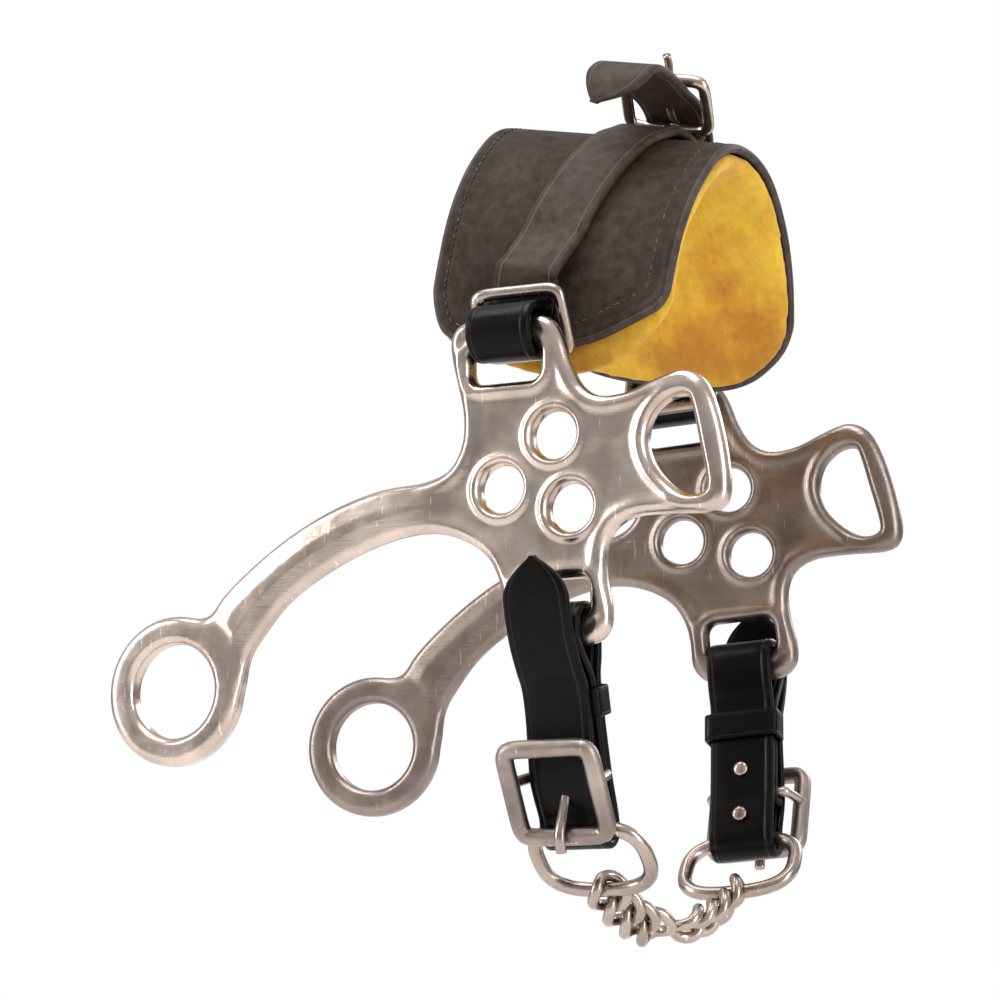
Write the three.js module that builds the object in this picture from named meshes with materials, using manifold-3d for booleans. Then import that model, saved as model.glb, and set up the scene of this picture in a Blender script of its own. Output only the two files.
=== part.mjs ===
import * as THREE from 'three';
import { mergeVertices } from 'three/addons/utils/BufferGeometryUtils.js';
import Module from 'manifold-3d';

// Bitless (mechanical) hackamore, in millimetres.
// +X runs from the rein rings to the bridle eyes, +Y from the near cheek to the far cheek, +Z up.
// The origin is the underside of the padded noseband at its crest, where it rests on the nose.

// ---------- driving dimensions ----------

// places of the main assemblies
const HALF_SPREAD = 55;            // each cheek plate's middle plane from the centre line
const PLATE_DROP = 96;             // centre of a plate's three holes below the noseband's crest
const FAR_YAW = 0.105;             // the far cheek hangs slightly turned on its strap (radians)
const FAR_DIP = 0.075;             // and its rein ring a little lower (radians)

// cheek plate, in its own plane, measured from the centre of the three holes
const PLATE_THICK = 7;
const PLATE_ROUNDING = { deep: 2.6, wide: 1.9 };   // of its edges, through and across the plate
const HOLE_DIAMETER = 13;
const HOLE_CENTRES = [[4.3, 11.2], [-11.4, -2.4], [9.2, -8.8]];
const TOP_BAR = [-10, 40.6];       // centre of the bar that carries the nose strap
const BOTTOM_BAR = [4.4, -42];     // centre of the bar that carries the curb strap
const SLOT_WIDTH = 20.6;
const REIN_RING = [-113.7, -52];
const REIN_RING_OUTER = 21;
const REIN_RING_INNER = 13.2;

// leather
const STRAP_WIDTH = 19;
const STRAP_THICK = 2.4;
const FOLD_CLEARANCE = 5.6;        // inner radius of a strap folded round a plate's bar

// noseband pad
const PAD_LENGTH = 75;             // along the nose
const PAD_PITCH = 0.183;           // its bridle side hangs lower (radians)
const LEATHER_THICK = 2.4;
const LINING_THICK = 7.3;
const LAYER_GAP = 0.3;
const NOSE_STRAP_X = 5.6;          // the strap's centre on the crest
const NOSE_STRAP_SLANT = 0.18;

// curb strap, measured down the strap (s) and outward from its middle layer (n)
const CURB_LEAN = 0.262;           // 15 degrees: the straps run inward to the chain
const CURB_LENGTH = 53;            // plate bar to ring bar
const BUCKLE_S = 38;               // middle bar of the buckle, down the strap
const OVAL_RING = { length: 36, height: 26, wire: 3.8, tilt: 0.78 };

// chain
const CHAIN_YAW = 0.21;            // the chain runs across from ring to ring, aslant by this (radians)
const LINKS_PER_SIDE = 4;
const LINK = { length: 12.5, width: 12, wire: 2.4, play: 0.3 };
const LINK_SLOPES = [0.68, 0.5, 0.3, 0.12];   // each link's fall towards the middle (radians)

// ---------- materials ----------

const metal = () => new THREE.MeshStandardMaterial({ color: 0x8f8279, roughness: 0.28, metalness: 1 });
const darkLeather = () => new THREE.MeshStandardMaterial({ color: 0x3a302c, roughness: 0.6, metalness: 0 });
const glossLeather = () => new THREE.MeshStandardMaterial({ color: 0x14100f, roughness: 0.3, metalness: 0 });
const suede = () => new THREE.MeshStandardMaterial({ color: 0xd9a92f, roughness: 0.95, metalness: 0 });

// ---------- solids ----------

const wasm = await Module();
wasm.setup();

const X_AXIS = new THREE.Vector3(1, 0, 0);
const Y_AXIS = new THREE.Vector3(0, 1, 0);
const Z_AXIS = new THREE.Vector3(0, 0, 1);
// a drawing's own x, y and depth laid along Y, Z, X (seen along the horse's nose)
const ACROSS = new THREE.Matrix4().makeBasis(Y_AXIS, Z_AXIS, X_AXIS);
// and along X, Z, -Y (seen from the near side)
const SIDEWAYS = new THREE.Matrix4().makeBasis(X_AXIS, Z_AXIS, Y_AXIS.clone().negate());

function toManifold(geometry) {
  const bare = geometry.clone();
  bare.deleteAttribute('normal');
  bare.deleteAttribute('uv');
  const merged = mergeVertices(bare, 1e-4);
  const vertProperties = new Float32Array(merged.attributes.position.array);
  const triVerts = new Uint32Array(merged.index.array);
  return new wasm.Manifold(new wasm.Mesh({ numProp: 3, vertProperties, triVerts }));
}

function fromManifold(solid) {
  const mesh = solid.getMesh();
  const geometry = new THREE.BufferGeometry();
  geometry.setAttribute('position', new THREE.BufferAttribute(new Float32Array(mesh.vertProperties), 3));
  geometry.setIndex(new THREE.BufferAttribute(new Uint32Array(mesh.triVerts), 1));
  return geometry;
}

function cut(geometry, ...tools) {
  const solid = tools.reduce((left, tool) => left.subtract(toManifold(tool)), toManifold(geometry));
  return fromManifold(solid);
}

const common = (a, b) => fromManifold(toManifold(a).intersect(toManifold(b)));
const join = (a, b) => fromManifold(toManifold(a).add(toManifold(b)));

// A strip of even thickness whose middle line is a smooth curve through [y, z] points,
// extruded along X by its width.
function strip(points, thickness, width, steps) {
  const line = new THREE.SplineCurve(points.map(([y, z]) => new THREE.Vector2(y, z)));
  const left = [];
  const right = [];
  for (let i = 0; i <= steps; i += 1) {
    const at = line.getPointAt(i / steps);
    const along = line.getTangentAt(i / steps);
    const side = new THREE.Vector2(-along.y, along.x).multiplyScalar(thickness / 2);
    left.push(at.clone().add(side));
    right.unshift(at.clone().sub(side));
  }
  const geometry = new THREE.ExtrudeGeometry(new THREE.Shape([...left, ...right]),
    { depth: width, bevelEnabled: false });
  geometry.translate(0, 0, -width / 2);
  return geometry.applyMatrix4(ACROSS);
}

// Points on an arc of a circle, for the folds of a strip.
function arc([cy, cz], radius, from, to, count) {
  return Array.from({ length: count }, (_, i) => {
    const angle = from + (to - from) * i / (count - 1);
    return [cy + radius * Math.cos(angle), cz + radius * Math.sin(angle)];
  });
}

// A closed round wire: a torus whose middle circle is moved onto another closed path.
function wireRing(pathAt, wire, steps, sides) {
  const geometry = new THREE.TorusGeometry(1, 0.25, sides, steps);
  const position = geometry.attributes.position;
  for (let j = 0; j <= sides; j += 1) {
    const around = 2 * Math.PI * (j % sides) / sides;
    for (let i = 0; i <= steps; i += 1) {
      const { at, out, up } = pathAt((i % steps) / steps);
      const vertex = at.clone()
        .addScaledVector(out, wire / 2 * Math.cos(around))
        .addScaledVector(up, wire / 2 * Math.sin(around));
      position.setXYZ(j * (steps + 1) + i, vertex.x, vertex.y, vertex.z);
    }
  }
  return geometry;
}

// Path of a rectangle with rounded corners, in the X-Y plane, between wire middles.
function roundedRectangle(length, height, corner) {
  const power = 2 / corner;
  const reach = (t) => Math.sign(t) * Math.abs(t) ** power;
  return (u) => {
    const angle = 2 * Math.PI * u + 1e-4;
    const at = new THREE.Vector3(length / 2 * reach(Math.cos(angle)), height / 2 * reach(Math.sin(angle)), 0);
    const out = new THREE.Vector3(
      Math.sign(Math.cos(angle)) * Math.abs(Math.cos(angle)) ** (2 - power) / length,
      Math.sign(Math.sin(angle)) * Math.abs(Math.sin(angle)) ** (2 - power) / height, 0).normalize();
    return { at, out, up: Z_AXIS };
  };
}

// ---------- cheek plate ----------

const vectors = (list) => list.map(([x, z]) => new THREE.Vector2(x, z));

// points round a circle's arc, the last one left out
function arcPoints([x, z], radius, from, to, count) {
  return arc([x, z], radius, from, to, count + 1).slice(0, -1);
}

function plateOutline() {
  // from the rein ring up the back of the shank, round the top loop, the bridle eye and the
  // bottom loop, and back along the underside of the shank
  const body = new THREE.SplineCurve(vectors([
    [-106.4, -28.6], [-98.5, -24.4], [-83.2, -14.4], [-67, -5.6], [-50, -0.2], [-35.5, 1.2], [-27.5, 4],
    [-23.6, 10.5], [-23.1, 18.5], [-24.8, 27], [-26.6, 34.5], [-26.8, 40.2], [-23.6, 44],
    [-17.5, 44.9], [-4, 44.6], [2.4, 43.6], [6.2, 38.6], [9, 30.2], [12.4, 24], [17.8, 20.7],
    [26, 21.2], [34, 24], [41.5, 25.8], [47.2, 23.4], [50.6, 17.6], [53.6, 6], [55, -5], [53.8, -10.8],
    [49.5, -12.9], [38, -12.4], [28, -12.6], [21.8, -15.6], [19.2, -21.5], [19.4, -29], [20.6, -36.2],
    [19.8, -42.4], [14.6, -45.9], [4, -45.8], [-6.4, -44.8], [-11, -40.2], [-11.4, -33], [-12.6, -26.4],
    [-16.6, -19.9], [-25, -14.8], [-35, -12.9], [-48, -14.8], [-63, -20.4], [-77, -28.6],
    [-86.5, -38.6], [-92.2, -50.4],
  ])).getPoints(84).map((point) => [point.x, point.y]);
  const ring = arcPoints(REIN_RING, REIN_RING_OUTER, -0.12, 1.3 - 2 * Math.PI, 18);
  return new THREE.Shape(vectors([...body, ...ring]));
}

// rounded window between a bar and the body of the plate
function slotHole([x, barZ], towardCentre) {
  const [high, low] = [barZ + Math.max(4.2 * towardCentre, 14 * towardCentre),
    barZ + Math.min(4.2 * towardCentre, 14 * towardCentre)];
  const half = SLOT_WIDTH / 2;
  const [topRadius, bottomRadius] = towardCentre < 0 ? [1.5, 4] : [4, 1.5];
  const corners = [[1, high - topRadius, topRadius], [-1, high - topRadius, topRadius],
    [-1, low + bottomRadius, bottomRadius], [1, low + bottomRadius, bottomRadius]];
  return new THREE.Path(vectors(corners.flatMap(([side, z, radius], i) =>
    arc([x + side * (half - radius), z], radius, i * Math.PI / 2, (i + 1) * Math.PI / 2, 4))));
}

function bridleEyeHole() {
  const back = new THREE.SplineCurve(vectors([[42.8, 18.4], [38.2, 17.8], [33.6, 14], [31.6, 8],
    [33.2, 1.6], [37.6, -4], [43, -7.6], [47.8, -7]])).getPoints(14);
  return new THREE.Path([...back, new THREE.Vector2(48.6, -4.6), new THREE.Vector2(44.2, 16.6)]);
}

function roundHole(centre, radius, count) {
  return new THREE.Path(vectors(arcPoints(centre, radius, 0, 2 * Math.PI, count)));
}

function cheekPlateGeometry() {
  const { deep, wide } = PLATE_ROUNDING;
  const shape = plateOutline();
  shape.holes.push(
    ...HOLE_CENTRES.map((centre) => roundHole(centre, HOLE_DIAMETER / 2, 16)),
    roundHole(REIN_RING, REIN_RING_INNER, 24), bridleEyeHole(),
    slotHole(TOP_BAR, -1), slotHole(BOTTOM_BAR, 1));
  const geometry = new THREE.ExtrudeGeometry(shape, {
    depth: PLATE_THICK - 2 * deep, bevelEnabled: true, bevelSegments: 1,
    bevelThickness: deep, bevelSize: wide, bevelOffset: -wide,
  });
  geometry.translate(0, 0, -(PLATE_THICK - 2 * deep) / 2);
  return geometry.applyMatrix4(SIDEWAYS);
}

// ---------- noseband ----------

// outer surface of the pad's leather, half of the arch, from the crest down the far side
const ARCH = [[0, 10], [16, 6], [29.2, -5.8], [37.6, -20.5], [41.6, -37.6], [43, -56]];
const archCurve = new THREE.SplineCurve(
  [...ARCH.slice(1).reverse().map(([y, z]) => [-y, z]), ...ARCH].map(([y, z]) => new THREE.Vector2(y, z)));

// points that follow the arch at a distance outside it, between two shares of its length
function alongArch(outside, from, to, count) {
  return Array.from({ length: count }, (_, i) => {
    const t = from + (to - from) * i / (count - 1);
    const at = archCurve.getPointAt(t);
    const along = archCurve.getTangentAt(t);
    return [at.x - along.y * outside, at.y + along.x * outside];
  });
}

// side view of a pad layer: straight at the crest, with rounded and slightly convex flaps
function flapOutline(halfLength, bottom, corner) {
  const shape = new THREE.Shape();
  const top = 20;
  shape.moveTo(-halfLength, top);
  shape.lineTo(-halfLength, bottom + 8 + corner);
  shape.quadraticCurveTo(-halfLength, bottom + 5, -halfLength + corner, bottom + 3);
  shape.quadraticCurveTo(0, bottom - 3, halfLength - corner, bottom + 3);
  shape.quadraticCurveTo(halfLength, bottom + 5, halfLength, bottom + 8 + corner);
  shape.lineTo(halfLength, top);
  const geometry = new THREE.ExtrudeGeometry(shape, { depth: 120, bevelEnabled: false, curveSegments: 8 });
  geometry.translate(0, 0, -60);
  return geometry.applyMatrix4(SIDEWAYS);
}

function nosebandLeatherGeometry() {
  const layer = strip(alongArch(-LEATHER_THICK / 2, 0, 1, 33), LEATHER_THICK, PAD_LENGTH, 44);
  return common(layer, flapOutline(PAD_LENGTH / 2, -56, 9));
}

function nosebandLiningGeometry() {
  const depth = LEATHER_THICK + LAYER_GAP + LINING_THICK / 2;
  const inner = alongArch(-depth, 0, 1, 33);
  const [first, last] = [inner[0], inner[inner.length - 1]];
  const layer = strip([[first[0], first[1] - 8], ...inner, [last[0], last[1] - 8]],
    LINING_THICK, PAD_LENGTH + 4, 44);
  return common(layer, flapOutline(PAD_LENGTH / 2 + 2, -63, 11));
}

// nose strap: each half hangs from the crest to its fold; the slant follows the pad's pitch
const NOSE_BUCKLE = { heel: [6, 14.9], free: [-7, 26.2], wire: 3.6, width: 25 };
const STRAP_END = [48, -41];

function slanted(geometry) {
  const shear = new THREE.Matrix4().set(
    1, 0, NOSE_STRAP_SLANT, NOSE_STRAP_X, 0, 1, 0, 0, 0, 0, 1, 0, 0, 0, 0, 1);
  return geometry.applyMatrix4(shear);
}

function nearNoseStrapGeometry() {
  const lift = LAYER_GAP + STRAP_THICK / 2;
  const [heelY, heelZ] = NOSE_BUCKLE.heel;
  const hook = arc([heelY, heelZ], 3.4, -Math.PI / 2, 0.2, 4);
  const points = [[-STRAP_END[0], STRAP_END[1]], [-46.8, -36], ...alongArch(lift, 0.17, 0.5, 9), ...hook];
  const tongueSlot = new THREE.BoxGeometry(4.4, 14, 14);
  tongueSlot.translate(0, heelY + 2.4, heelZ);
  return slanted(cut(strip(points, STRAP_THICK, STRAP_WIDTH, 34), tongueSlot));
}

function farNoseStrapGeometry() {
  const lift = LAYER_GAP + STRAP_THICK / 2;
  const billet = [[16, 12.6], [11, 16.6], [6, 19.4], [0, 21.2], [-7, 22.2], [-16, 23.4], [-26, 24],
    [-32.6, 22.2], [-36.6, 17.4], [-37.8, 11.5]];
  const points = [[STRAP_END[0], STRAP_END[1]], [46.8, -36], ...alongArch(lift, 0.83, 0.68, 5), ...billet];
  const tongueHole = new THREE.BoxGeometry(3.8, 15, 12);
  tongueHole.translate(0, 4.2, 20);
  return slanted(cut(strip(points, STRAP_THICK, STRAP_WIDTH, 46), tongueHole));
}

// ---------- buckles ----------

function bentWire(points, wire, steps) {
  const path = new THREE.CatmullRomCurve3(points.map((point) => new THREE.Vector3(...point)));
  const section = new THREE.Shape();
  section.absarc(0, 0, wire / 2, 0, 2 * Math.PI, false);
  return new THREE.ExtrudeGeometry(section, { steps, curveSegments: 3, bevelEnabled: false, extrudePath: path });
}

// a rectangular frame laid from one bar to another, both along X, through two [y, z] points
function frameBetween([ay, az], [by, bz], width, wire) {
  const height = Math.hypot(by - ay, bz - az);
  const ring = wireRing(roundedRectangle(width, height, 7), wire, 28, 6);
  ring.rotateX(Math.atan2(bz - az, by - ay));
  return ring.translate(0, (ay + by) / 2, (az + bz) / 2);
}

// tongue: an eye round a bar, then a straight prong out to its tip, in the Y-Z plane
function tongueGeometry([by, bz], barRadius, wire, prong) {
  const radius = barRadius + 0.35 + wire / 2;
  const direction = Math.atan2(prong[0][1] - bz, prong[0][0] - by);
  const eye = arc([by, bz], radius, direction - 1.75 * Math.PI, direction - 0.15 * Math.PI, 9);
  return bentWire([...eye, ...prong].map(([y, z]) => [0, y, z]), wire, 18);
}

// ---------- one side of the hackamore, with Y outward ----------

// the folded end of the nose strap, about the middle of the plate's top bar
function strapFoldGeometry() {
  const radius = FOLD_CLEARANCE + STRAP_THICK / 2;
  const points = [[-6.9, 9.3], [-3.7, 7.5], ...arc([0, 0], radius, 1.45, -Math.PI, 9),
    [-7.8, 3.6], [-9.1, 7.6], [-9.8, 10], [-10, 11.8]];
  return strip(points, STRAP_THICK, STRAP_WIDTH, 44);
}

const KEEPER_RING = { top: [-2.5, 11.6], bottom: [-10.4, -4.6], wire: 3.6, width: 25.4 };

// curb strap: [outward, down] points from the buckle's chape over the plate's bar, down to the
// oval ring, round it, and up through the buckle to the tip
const BUCKLE_BAR = { n: 2.6, radius: 1.5 };
const RING_FOLD = 4.3;
const RIVET_S = [32.5, 46.5];
const down = (points) => points.map(([n, s]) => [n, -s]);

function curbStrapGeometry() {
  const plateFold = FOLD_CLEARANCE + STRAP_THICK / 2;
  const chape = arc([BUCKLE_BAR.n, -BUCKLE_S], 3.25, 1.75 * Math.PI, Math.PI, 6);
  const points = [
    ...chape, ...down([[-0.2, BUCKLE_S - 5], [0, 26], [0, 17], [0.7, 12], [3.6, 7]]),
    ...arc([0, 0], plateFold, -0.25, Math.PI + 0.25, 8),
    ...down([[-5.2, 7.4], [-3.4, 12], [-2.9, 17], [-2.9, 30], [-3.2, 40], [-4.1, 48]]),
    ...arc([0, -CURB_LENGTH], RING_FOLD, Math.PI, 2 * Math.PI, 5),
    ...down([[4.3, 48.6], [6, 43], [7, 38], [6.3, 31], [5.2, 22], [5.4, 14], [7.6, 8], [9.8, 0],
      [10.3, -10], [9.4, -22]]),
  ];
  // the tongue's eye passes through the chape, and its prong through the billet
  const tongueSlot = new THREE.BoxGeometry(4.2, 8.2, 9.6);
  tongueSlot.translate(0, 2.2, -BUCKLE_S - 0.2);
  const tongueHole = new THREE.BoxGeometry(3.4, 6, 12.6);
  tongueHole.translate(0, 7, -BUCKLE_S - 3.2);
  const punched = cut(strip(points, STRAP_THICK, STRAP_WIDTH, 84), tongueSlot, tongueHole);
  const rivetHoles = RIVET_S.map((s, i) => {
    const hole = new THREE.CylinderGeometry(1.5, 1.5, i === 0 ? 7 : 4, 10);
    return hole.translate(0, i === 0 ? -1.7 : -4, -s);
  });
  const tip = new THREE.Shape([[-12, -14], [-9.6, 12], [0, 22], [9.6, 12], [12, -14], [12, -80], [-12, -80]]
    .map(([x, z]) => new THREE.Vector2(x, z)));
  const pointed = new THREE.ExtrudeGeometry(tip, { depth: 60, bevelEnabled: false });
  pointed.translate(0, 0, -30);
  return common(cut(punched, ...rivetHoles), pointed.applyMatrix4(SIDEWAYS));
}

function rivetGeometry(grip) {
  const radius = 1.1;
  const profile = [[0, 0], [2.2, 0], [2.2, 0.5], [1.5, 1], [radius, 1], [radius, 1 + grip],
    [1.9, 1 + grip], [1.9, 1.5 + grip], [0, 1.5 + grip]];
  return new THREE.LatheGeometry(profile.map(([x, y]) => new THREE.Vector2(x, y)), 12);
}

const LEATHER_KEEPER = { s: 19, height: 8, wall: 1.1, inner: [19.8, 6.2], middle: -1.45 };

function leatherKeeperGeometry() {
  const { height, wall, inner: [width, depth], middle } = LEATHER_KEEPER;
  const outer = new THREE.BoxGeometry(width + 2 * wall, depth + 2 * wall, height);
  const inside = new THREE.BoxGeometry(width, depth, height + 2);
  return cut(outer, inside).translate(0, middle, 0);
}

const CURB_BUCKLE = { low: [8.6, -50.6], high: [11.4, -25.6], wire: 4.4, width: 25 };

function curbBuckleGeometry() {
  const { low, high, wire, width } = CURB_BUCKLE;
  const frame = frameBetween(low, high, width, wire);
  const side = (low[0] + high[0]) / 2;
  const half = width / 2;
  const bar = bentWire([[-half, side, -BUCKLE_S], [-half + 0.8, BUCKLE_BAR.n + 3, -BUCKLE_S],
    [-half + 2.6, BUCKLE_BAR.n, -BUCKLE_S], [0, BUCKLE_BAR.n, -BUCKLE_S],
    [half - 2.6, BUCKLE_BAR.n, -BUCKLE_S], [half - 0.8, BUCKLE_BAR.n + 3, -BUCKLE_S],
    [half, side, -BUCKLE_S]], 2 * BUCKLE_BAR.radius, 14);
  return join(frame, bar);
}

// oval ring: hangs by its top bar in the curb strap's fold
function ovalRingGeometry() {
  const { length, height, wire } = OVAL_RING;
  const ring = wireRing(roundedRectangle(length - wire, height - wire, 2.8), wire, 28, 6);
  ring.rotateX(Math.PI / 2);
  return ring.translate(0, 0, -(height - wire) / 2);
}

// chain link: an oval wire loop along Y with a quarter turn of twist from end to end
function linkGeometry() {
  const { length, width, wire } = LINK;
  const [half, reach] = [(length - wire) / 2, (width - wire) / 2];
  const pointAt = (u) => {
    const angle = 2 * Math.PI * u;
    const y = half * Math.cos(angle);
    const twist = Math.PI / 4 * (y / half);
    const side = reach * Math.sin(angle);
    return new THREE.Vector3(side * Math.cos(twist), y, side * Math.sin(twist));
  };
  const pathAt = (u) => {
    const at = pointAt(u);
    const along = pointAt(u + 1e-3).sub(pointAt(u - 1e-3)).normalize();
    const twist = Math.PI / 4 * (at.y / half);
    const flat = new THREE.Vector3(-Math.sin(twist), 0, Math.cos(twist));
    const out = along.clone().cross(flat).normalize();
    return { at, out, up: out.clone().cross(along).normalize() };
  };
  return wireRing(pathAt, wire, 18, 6).rotateY(-Math.PI / 4);
}

// ---------- assembly ----------

const hackamore = new THREE.Group();

function piece(parent, name, geometry, material, position = [0, 0, 0], rotation = [0, 0, 0]) {
  const mesh = new THREE.Mesh(geometry, material);
  mesh.name = name;
  mesh.position.set(...position);
  mesh.rotation.set(...rotation);
  parent.add(mesh);
  return mesh;
}

function group(parent, position, rotation = [0, 0, 0]) {
  const made = new THREE.Group();
  made.position.set(...position);
  made.rotation.set(...rotation, 'ZYX');
  parent.add(made);
  return made;
}

const noseband = group(hackamore, [0, 0, 0], [0, PAD_PITCH, 0]);
piece(noseband, 'noseband_leather', nosebandLeatherGeometry(), darkLeather());
piece(noseband, 'noseband_lining', nosebandLiningGeometry(), suede());
piece(noseband, 'near_nose_strap', nearNoseStrapGeometry(), darkLeather());
piece(noseband, 'far_nose_strap', farNoseStrapGeometry(), darkLeather());
{
  const { heel, free, wire, width } = NOSE_BUCKLE;
  piece(noseband, 'nose_buckle_frame', slanted(frameBetween(heel, free, width, wire)), metal());
  const prong = [[1, 20.8], [-4, 27.2], [-7.4, 30.8], [-10, 32.4]];
  piece(noseband, 'nose_buckle_tongue', slanted(tongueGeometry(heel, wire / 2, 2, prong)), metal());
}

function buildSide(name, outward, yaw, dip, chainYaw) {
  const side = new THREE.Group();
  side.scale.y = outward;
  hackamore.add(side);
  const [topX, topZ] = TOP_BAR;
  const [bottomX, bottomZ] = BOTTOM_BAR;

  const hanger = group(side, [topX, HALF_SPREAD, topZ - PLATE_DROP], [0, -dip, yaw]);
  piece(hanger, name + '_strap_fold', strapFoldGeometry(), glossLeather());
  const { top, bottom, wire, width } = KEEPER_RING;
  piece(hanger, name + '_keeper_ring', frameBetween(bottom, top, width, wire), metal(), [1, 0, 0]);
  piece(hanger, name + '_cheek_plate', cheekPlateGeometry(), metal(), [-topX, 0, -topZ]);

  hanger.updateMatrix();
  const bar = new THREE.Vector3(bottomX - topX, 0, bottomZ - topZ).applyMatrix4(hanger.matrix);
  const curb = group(side, bar.toArray(), [-CURB_LEAN, -dip, yaw]);
  piece(curb, name + '_curb_strap', curbStrapGeometry(), glossLeather());
  piece(curb, name + '_curb_keeper', leatherKeeperGeometry(), glossLeather(), [0, 0, -LEATHER_KEEPER.s]);
  piece(curb, name + '_curb_buckle_frame', curbBuckleGeometry(), metal());
  const prong = [[5.6, -42], [9.6, -46.5], [12.4, -50.6], [12.6, -54.4]];
  piece(curb, name + '_curb_buckle_tongue',
    tongueGeometry([BUCKLE_BAR.n, -BUCKLE_S], BUCKLE_BAR.radius, 2, prong), metal());
  piece(curb, name + '_upper_rivet', rivetGeometry(5.9), metal(), [0, -5.4, -RIVET_S[0]]);
  piece(curb, name + '_lower_rivet', rivetGeometry(3.4), metal(), [0, -6.6, -RIVET_S[1]]);

  const ring = group(curb, [0, 0, -CURB_LENGTH + 0.5], [CURB_LEAN - OVAL_RING.tilt, 0, 0]);
  piece(ring, name + '_oval_ring', ovalRingGeometry(), metal());

  side.updateMatrixWorld(true);
  const ringBar = new THREE.Vector3(0, 0, OVAL_RING.wire - OVAL_RING.height);
  ring.localToWorld(ringBar);
  ringBar.y *= outward;
  const chain = group(side, ringBar.toArray(), [0, 0, chainYaw]);
  const hinge = new THREE.Vector3();
  const reach = LINK.length / 2 - LINK.wire / 2;
  const gap = (LINK.wire + LINK.play) / 2;
  for (let i = 0; i < LINKS_PER_SIDE; i += 1) {
    const slope = LINK_SLOPES[i];
    const along = new THREE.Vector3(0, -Math.cos(slope), -Math.sin(slope));
    const first = (OVAL_RING.wire + LINK.wire) / 2 + LINK.play;
    const centre = hinge.clone().addScaledVector(along, reach - (i === 0 ? first : gap));
    const link = piece(chain, name + '_chain_link_' + (i + 1), linkGeometry(), metal(), centre.toArray());
    link.rotation.set(slope, 0, 0);
    hinge.addScaledVector(along, 2 * reach - gap - (i === 0 ? first : gap));
  }
}

buildSide('near', -1, 0, 0, CHAIN_YAW);
buildSide('far', 1, FAR_YAW, FAR_DIP, -CHAIN_YAW);

export default hackamore;
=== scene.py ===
import math

import bmesh
import bpy
import numpy as np
from mathutils import Matrix, Vector


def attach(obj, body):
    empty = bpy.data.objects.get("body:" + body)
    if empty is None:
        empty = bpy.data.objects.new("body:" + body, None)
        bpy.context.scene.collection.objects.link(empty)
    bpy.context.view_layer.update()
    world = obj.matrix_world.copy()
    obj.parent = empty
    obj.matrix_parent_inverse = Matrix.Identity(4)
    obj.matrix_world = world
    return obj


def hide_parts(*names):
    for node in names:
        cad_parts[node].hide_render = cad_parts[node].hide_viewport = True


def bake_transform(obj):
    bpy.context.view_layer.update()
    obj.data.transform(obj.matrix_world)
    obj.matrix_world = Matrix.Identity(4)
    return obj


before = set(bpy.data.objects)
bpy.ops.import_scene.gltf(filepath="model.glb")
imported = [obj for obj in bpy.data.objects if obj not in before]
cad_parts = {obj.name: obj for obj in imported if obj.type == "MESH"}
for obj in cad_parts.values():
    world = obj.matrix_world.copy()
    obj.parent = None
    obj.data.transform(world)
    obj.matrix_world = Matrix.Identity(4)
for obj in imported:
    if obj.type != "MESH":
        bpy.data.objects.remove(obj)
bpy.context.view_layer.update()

# Lengths below are in millimetres in the hackamore's own frame, and MM turns them into metres.
# +X runs from the rein rings to the bridle eyes, +Y from the near cheek to the far cheek, +Z up.
MM = 0.001

# ---------- places ----------

HALF_SPREAD = 55.0
PLATE_DROP = 96.0
PAD_PITCH = 0.183
# the two bars of a plate that straps fold round, as (x, z) in the plate's frame
TOP_BAR = (-10.0, 40.6)
BOTTOM_BAR = (4.4, -42.0)
# angles are in radians; the curb strap's length runs from the plate's bar to the oval ring
CURB_LEAN = 0.262
CURB_LENGTH = 53.0
RING_TILT = 0.78
RING_WIDTH = 36.0
RING_HEIGHT = 26.0
RING_WIRE = 3.8
CHAIN_YAW = 0.21
# each side's direction along Y, and how far its plate is turned about Z and dips at the eye
SIDES = {"near": (-1, 0.0, 0.0), "far": (1, 0.105, 0.075)}


def turn(x=0.0, y=0.0, z=0.0):
    return Matrix.Rotation(z, 4, "Z") @ Matrix.Rotation(y, 4, "Y") @ Matrix.Rotation(x, 4, "X")


def shift(x, y, z):
    return Matrix.Translation((x, y, z))


def side_frames(side):
    """Frames of one side, in millimetres: hanger, plate, curb strap, oval ring and chain links."""
    outward, yaw, dip = SIDES[side]
    mirror = Matrix.Diagonal((1, outward, 1, 1))
    hanger = mirror @ shift(TOP_BAR[0], HALF_SPREAD, TOP_BAR[1] - PLATE_DROP) @ turn(0, -dip, yaw)
    plate = hanger @ shift(-TOP_BAR[0], 0, -TOP_BAR[1])
    curb = plate @ shift(BOTTOM_BAR[0], 0, BOTTOM_BAR[1]) @ turn(-CURB_LEAN, 0, 0)
    ring = curb @ shift(0, 0, 0.5 - CURB_LENGTH) @ turn(CURB_LEAN - RING_TILT, 0, 0)
    bar = mirror @ ring @ Vector((0, 0, RING_WIRE - RING_HEIGHT))
    chain = mirror @ shift(*bar) @ turn(0, 0, -outward * CHAIN_YAW)
    return {"hanger": hanger, "plate": plate, "curb": curb, "ring": ring, "chain": chain}


FRAMES = {side: side_frames(side) for side in SIDES}
PAD = turn(0, PAD_PITCH, 0)

# ---------- materials ----------


def nodes_of(name):
    """A new material with its node tree and its shader node."""
    material = bpy.data.materials.new(name)
    material.use_nodes = True
    tree = material.node_tree
    return material, tree, tree.nodes["Principled BSDF"]


def add(tree, kind, **values):
    """A new node. Values go to the inputs of those names, or else to the node's own settings."""
    node = tree.nodes.new(kind)
    for key, value in values.items():
        if key in node.inputs:
            node.inputs[key].default_value = value
        else:
            setattr(node, key, value)
    return node


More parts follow.
